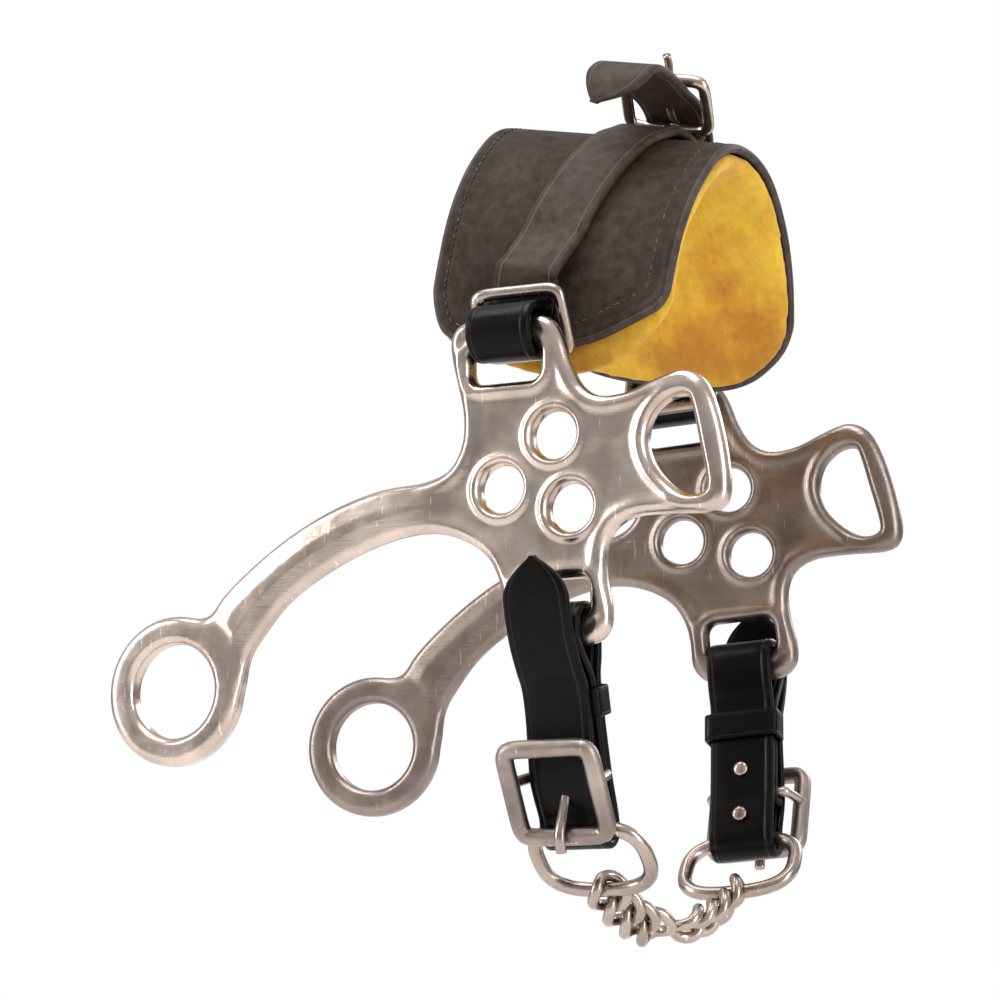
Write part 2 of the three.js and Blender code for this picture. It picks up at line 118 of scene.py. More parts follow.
def noise(tree, scale, detail=4.0, stretch=(1, 1, 1), rough=0.55):
    """Noise in the object's own space, in cycles per metre."""
    place = add(tree, "ShaderNodeTexCoord")
    mapping = add(tree, "ShaderNodeMapping")
    mapping.inputs["Scale"].default_value = stretch
    tree.links.new(place.outputs["Object"], mapping.inputs["Vector"])
    made = add(tree, "ShaderNodeTexNoise", Scale=scale, Detail=detail, Roughness=rough)
    tree.links.new(mapping.outputs["Vector"], made.inputs["Vector"])
    return made.outputs["Fac"]


def ramp(tree, source, *stops):
    """Turns a value into colours (or grey levels) at (position, colour) stops."""
    made = add(tree, "ShaderNodeValToRGB")
    band = made.color_ramp
    while len(band.elements) < len(stops):
        band.elements.new(0.5)
    for element, (at, colour) in zip(band.elements, stops):
        element.position = at
        element.color = (*colour, 1) if len(colour) == 3 else (colour[0],) * 3 + (1,)
    tree.links.new(source, made.inputs["Fac"])
    return made.outputs["Color"]


def bump(tree, shader, *layers):
    """Stacks bumps: (height, strength, distance in metres)."""
    last = None
    for height, strength, distance in layers:
        made = add(tree, "ShaderNodeBump", Strength=strength, Distance=distance)
        tree.links.new(height, made.inputs["Height"])
        if last is not None:
            tree.links.new(last, made.inputs["Normal"])
        last = made.outputs["Normal"]
    tree.links.new(last, shader.inputs["Normal"])


def blend_colours(tree, factor, a, b, mode="MIX"):
    """Mixes two colours, each a socket or a plain value."""
    made = add(tree, "ShaderNodeMix", data_type="RGBA", blend_type=mode)
    for value, socket in ((factor, made.inputs[0]), (a, made.inputs[6]), (b, made.inputs[7])):
        if hasattr(value, "links"):
            tree.links.new(value, socket)
        else:
            socket.default_value = value if isinstance(value, float) else (*value, 1)
    return made.outputs[2]


def metal(name, light, dark, rough, scratches):
    """Brushed cast metal: cloudy colour, a few bright scratches, fine brush lines and pits."""
    material, tree, shader = nodes_of(name)
    colour = ramp(tree, noise(tree, 55, 5), (0.3, dark), (0.68, light))
    marks = ramp(tree, noise(tree, 420, 2, (2.4, 1, 0.3), 0.5), (0.68, (0.0,)), (0.73, (1.0,)))
    worn = blend_colours(tree, marks, colour, tuple(1.35 * c for c in light))
    tree.links.new(worn, shader.inputs["Base Color"])
    shader.inputs["Metallic"].default_value = 1.0
    tree.links.new(ramp(tree, noise(tree, 140, 6), (0.3, (rough,)), (0.75, (rough + 0.16,))),
                   shader.inputs["Roughness"])
    lines = noise(tree, 260, 3, stretch=(0.25, 1, 5), rough=0.7)
    pits = noise(tree, 900, 2)
    bump(tree, shader, (noise(tree, 75, 3), 0.35, 0.0006), (lines, scratches, 0.00012),
         (pits, 0.12, 0.00008))
    return material


def leather(name, light, dark, rough, grain, crease_and_highlight, gloss):
    """Leather with grain and mottling, and a pressed line along a strap's edges where it has one. The line is
    bumped, and its lighter colour is a painted highlight.
    """
    material, tree, shader = nodes_of(name)
    clouds = ramp(tree, noise(tree, 60, 4), (0.3, (0.72,)), (0.7, (1.15,)))
    grains = ramp(tree, noise(tree, 300, 5, rough=0.65), (0.28, dark), (0.72, light))
    colour = blend_colours(tree, 1.0, grains, clouds, "MULTIPLY")
    heights = [(noise(tree, 1500, 3), grain, 0.00014), (noise(tree, 160, 4), 0.25, 0.0004)]
    if crease_and_highlight:
        across = add(tree, "ShaderNodeAttribute", attribute_name="across").outputs["Fac"]
        line = ramp(tree, across, (0.74, (0.0,)), (0.79, (1.0,)), (0.84, (0.0,)))
        # the pressed line is painted lighter than the leather: a painted highlight along the crease
        colour = blend_colours(tree, line, colour, tuple(1.5 * c + 0.006 for c in light))
        heights.append((line, 0.6, 0.0004))
    tree.links.new(colour, shader.inputs["Base Color"])
    tree.links.new(ramp(tree, noise(tree, 90, 4), (0.3, (rough,)), (0.75, (rough + 0.14,))),
                   shader.inputs["Roughness"])
    shader.inputs["Specular IOR Level"].default_value = gloss
    bump(tree, shader, *heights)
    return material


def suede():
    """Brushed suede with golden patches and a nap."""
    material, tree, shader = nodes_of("golden_suede")
    patches = ramp(tree, noise(tree, 24, 5, rough=0.62), (0.40, (0.78, 0.50, 0.045)),
                   (0.50, (0.70, 0.38, 0.030)), (0.62, (0.50, 0.215, 0.018)))
    nap = ramp(tree, noise(tree, 420, 5, rough=0.7), (0.25, (0.72, 0.72, 0.72)), (0.75, (1, 1, 1)))
    tree.links.new(blend_colours(tree, 1.0, patches, nap, "MULTIPLY"), shader.inputs["Base Color"])
    shader.inputs["Roughness"].default_value = 0.95
    shader.inputs["Sheen Weight"].default_value = 0.35
    shader.inputs["Sheen Tint"].default_value = (1.0, 0.8, 0.3, 1)
    bump(tree, shader, (noise(tree, 1400, 3), 0.5, 0.0003), (noise(tree, 110, 4), 0.4, 0.0012))
    return material


def thread():
    """Dark waxed thread."""
    material, tree, shader = nodes_of("thread")
    tree.links.new(ramp(tree, noise(tree, 800, 2), (0.38, (0.008, 0.006, 0.005)),
                        (0.66, (0.12, 0.10, 0.09))), shader.inputs["Base Color"])
    shader.inputs["Roughness"].default_value = 0.7
    return material


CAST = metal("cast_metal", (0.70, 0.585, 0.515), (0.43, 0.345, 0.295), 0.17, 0.35)
# the far plate's metal: real scratches and more roughness than the near plate's, and a much darker colour
# that is painted shade on the same casting
WORN_AND_SHADED = metal("worn_and_shaded_metal", (0.33, 0.268, 0.235), (0.19, 0.152, 0.132), 0.27, 0.8)
PITTED = metal("pitted_metal", (0.42, 0.35, 0.31), (0.20, 0.16, 0.14), 0.30, 1.0)
WIRE = metal("wire_metal", (0.50, 0.42, 0.37), (0.30, 0.245, 0.21), 0.20, 0.25)
DARK = leather("dark_leather", (0.062, 0.042, 0.032), (0.022, 0.014, 0.011), 0.62, 0.45, False, 0.14)
PIPING = leather("edge_leather", (0.095, 0.070, 0.064), (0.036, 0.026, 0.024), 0.50, 0.4, False, 0.2)
STRAP = leather("strap_leather", (0.078, 0.054, 0.043), (0.026, 0.018, 0.014), 0.54, 0.4, True, 0.2)
GLOSS = leather("gloss_leather", (0.003, 0.0022, 0.0018), (0.001, 0.0008, 0.0007), 0.24, 0.12, True, 0.13)
SUEDE = suede()
THREAD = thread()

# ---------- mesh tools ----------


def piece(name, vertices, faces, place, body, material, replaced=(), across=None):
    """A smooth mesh from millimetre vertices in a frame, riding on a CAD body.

    across is each vertex's distance from a strap's middle line, as a share of half its width.
    """
    matrix = np.array(place)
    corners = (np.asarray(vertices, float) @ matrix[:3, :3].T + matrix[:3, 3]) * MM
    mesh = bpy.data.meshes.new(name)
    mesh.from_pydata(corners.tolist(), [], faces)
    if across is not None:
        mesh.attributes.new("across", "FLOAT", "POINT").data.foreach_set("value", across)
    mesh.validate()
    fix = bmesh.new()
    fix.from_mesh(mesh)
    bmesh.ops.recalc_face_normals(fix, faces=fix.faces)
    fix.to_mesh(mesh)
    fix.free()
    mesh.polygons.foreach_set("use_smooth", [True] * len(mesh.polygons))
    mesh.materials.append(material)
    made = bpy.data.objects.new(name, mesh)
    bpy.context.scene.collection.objects.link(made)
    if body:
        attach(made, body)
    if replaced:
        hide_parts(*replaced)
    return made


def run_of(line):
    """The distance along a line at each of its points."""
    return np.concatenate([[0], np.cumsum(np.linalg.norm(np.diff(line, axis=0), axis=1))])


def unit(vectors):
    return vectors / np.linalg.norm(vectors, axis=1)[:, None]


def spline(points, count, closed=False):
    """Points evenly spaced along a smooth curve through the given ones."""
    p = np.asarray(points, float)
    n = len(p)
    last = n if closed else n - 1
    pick = (lambda i: p[i % n]) if closed else (lambda i: p[min(max(i, 0), n - 1)])
    fine = []
    for i in range(last):
        a, b, c, d = pick(i - 1), pick(i), pick(i + 1), pick(i + 2)
        for t in np.linspace(0, 1, 24, endpoint=False):
            fine.append(0.5 * (2 * b + (c - a) * t + (2 * a - 5 * b + 4 * c - d) * t * t
                               + (3 * b - a - 3 * c + d) * t ** 3))
    fine.append(pick(last) if not closed else fine[0])
    fine = np.array(fine)
    run = run_of(fine)
    at = np.linspace(0, run[-1], count, endpoint=not closed)
    return np.stack([np.interp(at, run, fine[:, k]) for k in range(p.shape[1])], 1)


def arc(centre, radius, start, end, count):
    """(y, z) points on an arc."""
    angles = np.linspace(start, end, count)
    return [(centre[0] + radius * math.cos(a), centre[1] + radius * math.sin(a)) for a in angles]


def rounded_section(width, thick, radius, inner=3):
    """(across, out) points round a strap's section, with some inner points on each flat."""
    w, h = width / 2 - radius, thick / 2 - radius
    corners = [(w, h), (-w, h), (-w, -h), (w, -h)]
    points = []
    for k, centre in enumerate(corners):
        points += arc(centre, radius, k * math.pi / 2, (k + 1) * math.pi / 2, 4)
        if k in (0, 2):
            sign = 1 - k
            points += [(sign * w * (1 - 2 * j / (inner + 1)), sign * thick / 2)
                       for j in range(1, inner + 1)]
    return np.array(points)


def around(count):
    """Evenly spaced angles of one turn."""
    return np.linspace(0, 2 * math.pi, count, endpoint=False)


def circle_section(thick, sides=14, flat=1.0):
    """(across, out) points round a wire's section. flat scales its height."""
    a = around(sides)
    return thick / 2 * np.stack([np.cos(a), flat * np.sin(a)], 1)


def sweep(centres, across, out, section, closed=False, widths=None):
    """A section carried along a path. across and out are the section's axes at each point."""
    n, m = len(centres), len(section)
    scale = np.ones(n) if widths is None else widths
    across = np.broadcast_to(across, (n, 3))
    out = np.broadcast_to(out, (n, 3))
    sideways = section[None, :, 0, None] * scale[:, None, None] * across[:, None, :]
    outward = section[None, :, 1, None] * out[:, None, :]
    vertices = centres[:, None, :] + sideways + outward
    faces = tube_faces(0, n, m)
    if closed:
        last = (n - 1) * m
        faces[-2:] = [(last + k, last + (k + 1) % m, (k + 1) % m, k) for k in range(m)]
    return vertices.reshape(-1, 3), faces


def tangents(line, closed=False):
    return unit(np.roll(line, -1, 0) - np.roll(line, 1, 0) if closed else np.gradient(line, axis=0))


def share_across(section, width, steps):
    """Each swept vertex's distance from the middle line, as a share of half the width."""
    return np.tile(np.abs(section[:, 0]) / (width / 2), steps)


def wire(name, line, thick, place, body, material, replaced=(), closed=True, up=(0, 0, 1), flat=1.0):
    """A bent wire along a 3-D path."""
    t = tangents(line, closed)
    side = unit(np.cross(t, np.broadcast_to(up, t.shape)))
    out = np.cross(side, t)
    vertices, faces = sweep(line, side, out, circle_section(thick, flat=flat), closed)
    return piece(name, vertices, faces, place, body, material, replaced)


def rounded_rectangle(length, height, corner, count):
    """A closed superellipse in the XY plane. A larger corner makes it squarer."""
    a = around(count) + 1e-4
    reach = 2 / corner
    x = length / 2 * np.sign(np.cos(a)) * np.abs(np.cos(a)) ** reach
    y = height / 2 * np.sign(np.sin(a)) * np.abs(np.sin(a)) ** reach
    ring = np.stack([x, y, np.zeros(count)], 1)
    return spline(ring, count, closed=True)


def tube_faces(base, rings, sides):
    """Faces of a closed tube whose vertices are rings of the same number of sides."""
    faces = []
    for r in range(rings - 1):
        low, high = base + r * sides, base + (r + 1) * sides
        faces += [(low + k, low + (k + 1) % sides, high + (k + 1) % sides, high + k)
                  for k in range(sides)]
    last = base + (rings - 1) * sides
    return faces + [tuple(range(base, base + sides)), tuple(range(last, last + sides))]


def stitches(name, points, directions, normals, length):
    """A row of short threads lying on the noseband."""
    thick = 0.5
    sides = 6
    rings = [(-0.5, 0.25), (-0.3, 1.0), (0.3, 1.0), (0.5, 0.25)]
    vertices, faces = [], []
    for p, d, n in zip(points, directions, normals):
        side = np.cross(d, n)
        faces += tube_faces(len(vertices), len(rings), sides)
        for along, wide in rings:
            for angle in around(sides):
                vertices.append(p + d * along * length
                                + (side * math.cos(angle) + n * math.sin(angle)) * thick / 2 * wide)
    return piece(name, vertices, faces, PAD, "noseband", THREAD)


def surface_net(field, low, step):
    """A closed quad mesh where a sampled field changes sign."""
    cells = tuple(n - 1 for n in field.shape)
    total = np.zeros(cells + (3,))
    count = np.zeros(cells)
    crossings = []
    for axis in range(3):
        head = tuple(slice(0, -1) if d == axis else slice(None) for d in range(3))
        tail = tuple(slice(1, None) if d == axis else slice(None) for d in range(3))
        a, b = field[head], field[tail]
        crossing = (a < 0) != (b < 0)
        share = np.where(crossing, a / np.where(crossing, a - b, 1), 0)
        crossings.append((crossing, a < 0))
        u, v = [d for d in range(3) if d != axis]
        for du in (0, 1):
            for dv in (0, 1):
                cut = [slice(None)] * 3
                cut[u] = slice(du, du + cells[u])
                cut[v] = slice(dv, dv + cells[v])
                c = crossing[tuple(cut)]
                count += c
                total[..., axis] += share[tuple(cut)]
                total[..., u] += c * du
                total[..., v] += c * dv
    used = count > 0
    index = np.full(cells, -1)
    index[used] = np.arange(used.sum())
    vertices = np.array(low) + step * (np.argwhere(used) + total[used] / count[used][:, None])
    faces = []
    for axis, (crossing, below) in enumerate(crossings):
        u, v = (axis + 1) % 3, (axis + 2) % 3
        at = np.argwhere(crossing)
        at = at[(at[:, u] > 0) & (at[:, v] > 0) & (at[:, u] < cells[u]) & (at[:, v] < cells[v])]
        eu, ev = np.eye(3, dtype=int)[u], np.eye(3, dtype=int)[v]
        quad = np.stack([index[tuple((at - o).T)] for o in (0 * eu, eu, eu + ev, ev)], 1)
        flip = below[tuple(at.T)]
        quad[~flip] = quad[~flip][:, ::-1]
        faces += quad.tolist()
    return vertices, faces


# ---------- cheek plates ----------

OUTLINE = [(-103, -34.5), (-98.3, -26.2), (-83.2, -14.4), (-67, -5.6), (-50, -0.2), (-35.5, 1.2),
           (-27.5, 4), (-23.6, 10.5), (-23.1, 18.5), (-24.8, 27), (-26.6, 34.5), (-26.8, 40.2),
           (-23.6, 44), (-17.5, 44.9), (-4, 44.6), (2.4, 43.6), (6.2, 38.6), (9, 30.2), (12.4, 24),
           (17.8, 20.7), (26, 21.2), (34, 24), (41.5, 25.8), (47.2, 23.4), (50.6, 17.6), (53.6, 6),
           (55, -5), (53.8, -10.8), (49.5, -12.9), (38, -12.4), (28, -12.6), (21.8, -15.6),
           (19.2, -21.5), (19.4, -29), (20.6, -36.2), (19.8, -42.4), (14.6, -45.9), (4, -45.8),
           (-6.4, -44.8), (-11, -40.2), (-11.4, -33), (-12.6, -26.4), (-16.6, -19.9), (-25, -14.8),
           (-35, -12.9), (-48, -14.8), (-63, -20.4), (-77, -28.6), (-86.5, -38.6), (-94, -49)]
REIN_RING = (-113.7, -52.0)
REIN_OUTER = 21
REIN_INNER = 13.2
HOLES = [(4.3, 11.2), (-11.4, -2.4), (9.2, -8.8)]
HOLE_RADIUS = 6.5
EYE = [(42.8, 18.4), (38.2, 17.8), (33.6, 14), (31.6, 8), (33.2, 1.6), (37.6, -4), (43, -7.6),
       (47.4, -7.4), (48.6, -4.6), (46.6, 6), (44.4, 16.4)]


def distance_to(x, z, line):
    """Signed distance to a closed outline, negative inside."""
    best = np.full(x.shape, 1e9)
    inside = np.zeros(x.shape, bool)
    for (ax, az), (bx, bz) in zip(line, np.roll(line, -1, 0)):
        ex, ez = bx - ax, bz - az
        t = np.clip(((x - ax) * ex + (z - az) * ez) / (ex * ex + ez * ez + 1e-12), 0, 1)
        best = np.minimum(best, (x - ax - t * ex) ** 2 + (z - az - t * ez) ** 2)
        if abs(ez) > 1e-9:
            inside ^= ((az > z) != (bz > z)) & (x < ax + (z - az) * ex / ez)
    return np.where(inside, -1, 1) * np.sqrt(best)


def slot_distance(x, z, centre, toward):
    """Signed distance to a rounded window beside a bar, negative inside."""
    near, away = centre[1] + toward * 4.2, centre[1] + toward * 14
    mid, half = (near + away) / 2, abs(away - near) / 2
    radius = 3.2
    qx = np.abs(x - centre[0]) - (10.3 - radius)
    qz = np.abs(z - mid) - (half - radius)
    return np.hypot(np.maximum(qx, 0), np.maximum(qz, 0)) + np.minimum(np.maximum(qx, qz), 0) - radius


def hill(d, centre, width):
    """A bell of height 1."""
    return np.exp(-((d - centre) / width) ** 2)


def plate_mesh(step):
    """The cast plate: an outline with rolled edges, raised rims and a ridged shank."""
    xs = np.arange(-136.5, 57.5, step)
    zs = np.arange(-75, 47.5, step)
    ys = np.arange(-4.6, 4.7, step)
    x, z = np.meshgrid(xs, zs, indexing="ij")
    body = distance_to(x, z, spline(OUTLINE, 230))
    from_ring = np.hypot(x - REIN_RING[0], z - REIN_RING[1])
    ring = from_ring - REIN_OUTER
    # the shank and the rein ring flow together over this width
    fillet = 7
    ring_share = np.clip(0.5 + (body - ring) / (2 * fillet), 0, 1)
    outer = body * (1 - ring_share) + ring * ring_share - fillet * ring_share * (1 - ring_share)
    rein = REIN_INNER - from_ring
    holes = np.max([HOLE_RADIUS - np.hypot(x - a, z - b) for a, b in HOLES], 0)
    eye = -distance_to(x, z, spline(EYE, 90, closed=True))
    slots = np.maximum(-slot_distance(x, z, TOP_BAR, -1), -slot_distance(x, z, BOTTOM_BAR, 1))
    edge = np.max([outer, rein, holes, eye, slots], 0)
    deep, hole, window = -outer, -holes, -np.maximum(eye, slots)
    flat = (2.35 + 0.85 * hill(hole, 1.5, 1.25) + 0.95 * hill(window, 2.2, 1.7)
            + 0.75 * hill(deep, 2.6, 2.0))
    shank = 2.3 + 1.2 * np.clip(deep / 6.6, 0, 1)
    toward_rein = np.clip((-24 - x) / 16, 0, 1)
    shank_share = toward_rein * toward_rein * (3 - 2 * toward_rein)
    thickest = 3.45
    half = np.clip(flat * (1 - shank_share) + shank * shank_share, 2.1, thickest)
    at_ring = np.clip((24 - from_ring) / 6, 0, 1)
    half = half * (1 - at_ring) + (thickest - 0.3 * hill(-rein, 0.6, 0.8)) * at_ring
    roll = 2.05
    q1 = (edge + roll)[:, None, :]
    q2 = np.abs(ys)[None, :, None] - (half - roll)[:, None, :]
    field = np.minimum(np.maximum(q1, q2), 0) + np.hypot(np.maximum(q1, 0), np.maximum(q2, 0)) - roll
    return surface_net(field, (xs[0], ys[0], zs[0]), step)


PLATE = plate_mesh(0.5)
# the far plate's darker metal is painted shade; its extra scratches and roughness are wear
for side, metal_of_side in (("near", CAST), ("far", WORN_AND_SHADED)):
    plate = piece(side + "_cheek_casting", *PLATE, FRAMES[side]["plate"], side + "_cheek",
                  metal_of_side, [side + "_cheek_plate"])
    relax = plate.modifiers.new("relax", "SMOOTH")
    relax.factor = 0.5
    relax.iterations = 3

# ---------- noseband ----------

# half of the noseband's section as (y, z), from its crest down to a flap's hem
ARCH = [(0, 10), (16, 6), (29.2, -5.8), (37.6, -20.5), (41.6, -37.6), (43, -56)]
ARCH_LINE = spline([(-y, z) for y, z in ARCH[:0:-1]] + ARCH, 401)
ARCH_RUN = run_of(ARCH_LINE)
ARCH_HALF = ARCH_RUN[-1] / 2
ARCH_ALONG = tangents(ARCH_LINE)


def on_arch(x, s, n):
    """A point at s millimetres from the crest along the arch, n outside it."""
    s = np.asarray(s, float)
    at = np.clip(s + ARCH_HALF, 0, ARCH_RUN[-1])
    over = s + ARCH_HALF - at
    y, z = (np.interp(at, ARCH_RUN, ARCH_LINE[:, k]) for k in (0, 1))
    ty, tz = (np.interp(at, ARCH_RUN, ARCH_ALONG[:, k]) for k in (0, 1))
    return np.stack([x + 0 * y, y - tz * n + ty * over, z + ty * n + tz * over], -1)


# heights of the flaps' lower edges, at shares of the pad's length
HEMS = {
    "leather": ([(-1, -49.5), (-0.85, -56), (-0.5, -58), (0, -57), (0.4, -54), (0.75, -47.5), (1, -42)],
                [(-1, -47), (-0.8, -51.5), (-0.3, -53.5), (0.3, -53.5), (0.65, -50), (0.9, -42.5), (1, -38)]),
    "pad": ([(-1, -52), (-0.8, -59.5), (-0.3, -63.5), (0.1, -65), (0.55, -60.5), (0.8, -53), (1, -44)],
            [(-1, -48), (-0.8, -52.5), (-0.3, -54.5), (0.3, -54.5), (0.65, -51), (0.9, -43.5), (1, -39)]),
}


def hem(u, layer, far):
    """How far a flap reaches from the crest, along the arch."""
    line = spline(HEMS[layer][far], 90)
    return ARCH_HALF + 1.02 * (ARCH[-1][1] - np.interp(u, line[:, 0], line[:, 1]))


def cut_out(u, v, layer, extra):
    """(x, s) of a share u of the pad's length and v of its girth: each flap widens toward its hem."""
    corner = 5.5 - 2.0 * (u > 0) * (v < 0)
    t = np.clip((np.abs(u) - 1 + corner / 35) * 35 / corner, 0, 1)
    reach = np.where(v < 0, hem(u, layer, 0), hem(u, layer, 1)) - corner * (1 - np.sqrt(1 - t * t))
    s = v * reach
    w = np.abs(s) / ARCH_HALF
    return -0.8 + (4.8 + 2.6 * (v > 0)) * w + u * (36.0 + extra - 0.6 * w), s


def outline(layer, extra, count):
    """Points round a layer's edge, as (x, s)."""
    t = np.sin(np.linspace(-math.pi / 2, math.pi / 2, 90))
    one = np.ones(90)
    corners = [(t, -one), (one, t), (t[::-1], one), (-one, t[::-1])]
    loop = np.concatenate([np.stack(cut_out(u, v, layer, extra), 1)[:-1] for u, v in corners])
    loop = np.concatenate([loop, loop[:1]])
    run = run_of(loop)
    at = np.linspace(0, run[-1], count, endpoint=False)
    return np.stack([np.interp(at, run, loop[:, k]) for k in (0, 1)], 1)


def crowded(count):
    """Shares from -1 to 1 that lie closer together toward both ends."""
    t = np.linspace(-1, 1, count)
    return np.sign(t) * (1 - (1 - np.abs(t)) ** 1.35)


def slab(layer, extra, columns, rows, top, bottom):
    """A closed slab that follows the arch. top and bottom give n from (x, s, edge distance)."""
    u, v = np.meshgrid(crowded(columns), crowded(rows), indexing="ij")
    x, s = cut_out(u, v, layer, extra)
    edge = -distance_to(x, s, outline(layer, extra, 260))
    border = (np.abs(u) == 1) | (np.abs(v) == 1)
    edge = np.where(border, 0, np.maximum(edge, 0))
    vertices = np.concatenate([on_arch(x, s, top(x, s, edge)).reshape(-1, 3),
                               on_arch(x, s, bottom(x, s, edge)).reshape(-1, 3)])
    number = np.arange(columns * rows).reshape(columns, rows)
    below = np.where(border, number, number + columns * rows)
    faces = []
    for grid in (number, below[:, ::-1]):
        quads = [grid[:-1, :-1], grid[1:, :-1], grid[1:, 1:], grid[:-1, 1:]]
        faces += np.stack(quads, -1).reshape(-1, 4).tolist()
    return vertices, faces


def rounding(e, radius):
    """From 1 on an edge to 0 at the radius, as a quarter circle."""
    return 1 - np.sqrt(np.clip(1 - (1 - np.clip(e / radius, 0, 1)) ** 2, 0, 1))


LEATHER_THICK = 2.4


def leather_top(x, s, e):
    return -LEATHER_THICK / 2 * rounding(e, LEATHER_THICK / 2) - 0.35 * hill(e, 3.2, 0.7)


def leather_bottom(x, s, e):
    return -LEATHER_THICK + LEATHER_THICK / 2 * rounding(e, LEATHER_THICK / 2)


vertices, faces = slab("leather", 0.0, 70, 150, leather_top, leather_bottom)
piece("noseband_shell", vertices, faces, PAD, "noseband", DARK, ["noseband_leather"])

rim = outline("leather", -0.5, 420)
wire("noseband_piping", on_arch(rim[:, 0], rim[:, 1], -1.3), 2.5, PAD, "noseband", PIPING,
     up=(0.3, 0.2, 1))


def stitch_row(pitch, height):
    """Stitching round the noseband, close to its rein edge and further from its bridle edge."""
    edge = outline("leather", 0.0, 500)
    t = tangents(edge, closed=True)
    inset = 3.2 + 2.6 * np.clip((edge[:, 0] + 10) / 35, 0, 1)
    inner = edge + inset[:, None] * np.stack([-t[:, 1], t[:, 0]], 1)
    run = run_of(inner)
    at = np.arange(0, run[-1], pitch)
    x, s = (np.interp(at, run, inner[:, k]) for k in (0, 1))
    here = on_arch(x, s, height)
    normal = unit(on_arch(x, s, height + 0.2) - here)
    stitches("noseband_stitches", here, tangents(here, closed=True), normal, 1.7)


stitch_row(2.6, -0.1)


def cloth_pad(made, pressure, cap):
    """Swells a pad by cloth simulation, then moves no point further than the cap, in metres."""
    scene = bpy.context.scene
    last_frame = 20
    bpy.context.view_layer.objects.active = made
    for other in bpy.context.selected_objects:
        other.select_set(False)
    made.select_set(True)
    remesh = made.modifiers.new("remesh", "REMESH")
    remesh.mode = "VOXEL"
    remesh.voxel_size = 0.0018
    bpy.ops.object.modifier_apply(modifier="remesh")
    before = np.array([v.co for v in made.data.vertices])
    cloth = made.modifiers.new("cloth", "CLOTH")
    cloth.settings.use_pressure = True
    cloth.settings.uniform_pressure_force = pressure
    cloth.settings.effector_weights.gravity = 0
    cloth.settings.mass = 0.3
    cloth.settings.tension_stiffness = 18
    cloth.settings.bending_stiffness = 0.4
    cloth.point_cache.frame_start = 1
    cloth.point_cache.frame_end = last_frame
    for number in range(1, last_frame + 1):
        scene.frame_set(number)
    graph = bpy.context.evaluated_depsgraph_get()
    after = np.array([v.co for v in made.evaluated_get(graph).data.vertices])
    made.modifiers.remove(cloth)
    scene.frame_set(1)
    move = after - before
    far = np.linalg.norm(move, axis=1)[:, None]
    move *= np.minimum(1, cap / np.maximum(far, 1e-9))
    made.data.vertices.foreach_set("co", (before + move).ravel())
    made.data.update()


def pad_top(x, s, e):
    return -2.7 - 1.7 * rounding(e, 2.2)


def pad_bottom(x, s, e):
    """The padded face, with soft ripples and a thinner border."""
    ripple = 0.35 * np.sin(x * 0.33 + 1.2 * np.sin(s * 0.11)) + 0.3 * np.sin(s * 0.21 + 0.4 * x)
    slope = (1 - np.clip(e / 13.0, 0, 1)) ** 2
    return -9.4 - 0.5 * ripple * np.clip(e / 6, 0, 1) + 2.5 * slope + 2.5 * rounding(e, 2.2)


vertices, faces = slab("pad", 0.6, 48, 120, pad_top, pad_bottom)
lining = piece("noseband_pad", vertices, faces, PAD, "", SUEDE)
cloth_pad(lining, 3.0, 0.0009)
smooth = lining.modifiers.new("smooth", "SUBSURF")
smooth.levels = smooth.render_levels = 1
lining.data.polygons.foreach_set("use_smooth", [True] * len(lining.data.polygons))
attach(lining, "noseband")
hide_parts("noseband_lining")

# ---------- nose strap ----------

# the nose strap crosses the pad aslant: its X is the first value plus the second for each mm of Z
SHEAR = (5.6, 0.18)
STRAP_WIDTH = 19.0
STRAP_THICK = 2.4
FOLD_RADIUS = 5.6 + STRAP_THICK / 2
LIFT = 0.3 + STRAP_THICK / 2
# the nose buckle's heel bar and free bar, as (y, z)
HEEL = (6.0, 14.9)
FREE = (-7.0, 26.2)


def along_arch(start, end, count):
    """(y, z) points of the nose strap on the pad, between two shares of the arch's length."""
    s = (np.linspace(start, end, count) - 0.5) * 2 * ARCH_HALF
    return [tuple(p) for p in on_arch(0.0, s, LIFT)[:, 1:]]


def fold_path():
    """The folded end's middle line in the hanger's frame: down behind the bar, under it and over."""
    loop = [(-10, 11.8), (-9.8, 10), (-9.1, 7.6), (-7.8, 3.6)]
    loop += arc((0, 0), FOLD_RADIUS, -math.pi, 1.45, 11)
    return loop + [(-3.7, 7.5), (-6.9, 9.3)]


def taper(distance, length):
    """From 1 at a strap's tip to 0 where the strap has its full width."""
    return np.clip(1 - distance / length, 0, 1) ** 2


def strap(name, line, across, place, body, material, replaced, pointed, narrowest, lean=0.0, inner=3):
    """A flat strap along a 3-D line, given the direction of its width at each point.

    pointed is the taper at each point, and lean moves the tip sideways.
    """
    t = tangents(line)
    out = unit(np.cross(across, t))
    across = np.cross(t, out)
    section = rounded_section(STRAP_WIDTH, STRAP_THICK, STRAP_THICK * 0.36, inner)
    vertices, faces = sweep(line - lean * pointed[:, None] * across, across, out, section,
                            widths=np.clip(1 - pointed, narrowest, 1))
    return piece(name, vertices, faces, place, body, material, replaced,
                 share_across(section, STRAP_WIDTH, len(line)))


def placed(matrix, points):
    m = np.array(matrix)
    return [tuple(m[:3, :3] @ np.array(p, float) + m[:3, 3]) for p in points]


def sheared(points):
    return [(SHEAR[0] + SHEAR[1] * z, y, z) for y, z in points]


